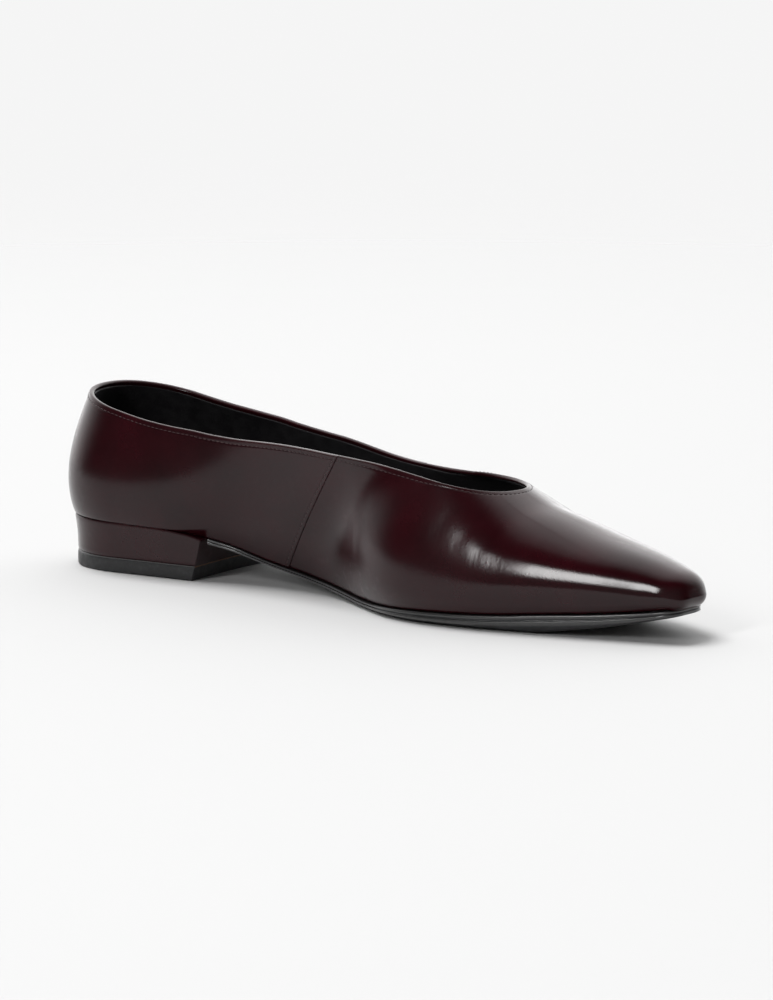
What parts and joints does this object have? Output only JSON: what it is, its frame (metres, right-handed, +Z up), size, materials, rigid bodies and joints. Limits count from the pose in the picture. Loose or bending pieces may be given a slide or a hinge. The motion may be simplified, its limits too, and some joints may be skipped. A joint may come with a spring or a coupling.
{
  "type": "pointed toe flat shoe",
  "caption": "Low-cut pointed toe flat shoe with a glossy leather upper, a side seam, a thin edged sole and a low covered heel block.",
  "frame": {"origin": "middle of the shoe's outline seen from above, on the floor that heel and forefoot stand on", "axes": "+X towards the toe, +Y towards the outer side of the foot, +Z up"},
  "size_m": [0.2674, 0.078, 0.062],
  "materials": {
    "burgundy_leather": "very dark burgundy leather with a high gloss",
    "black_sole": "black sole, polished edge with a groove, matte tread",
    "black_rubber": "matte black rubber",
    "black_lining": "matte black lining leather"
  },
  "bodies": {
    "root": {"upper": "burgundy_leather", "outsole": "black_sole", "heel": "burgundy_leather", "top_piece": "black_rubber", "insole": "black_lining"}
  },
  "joints": []
}
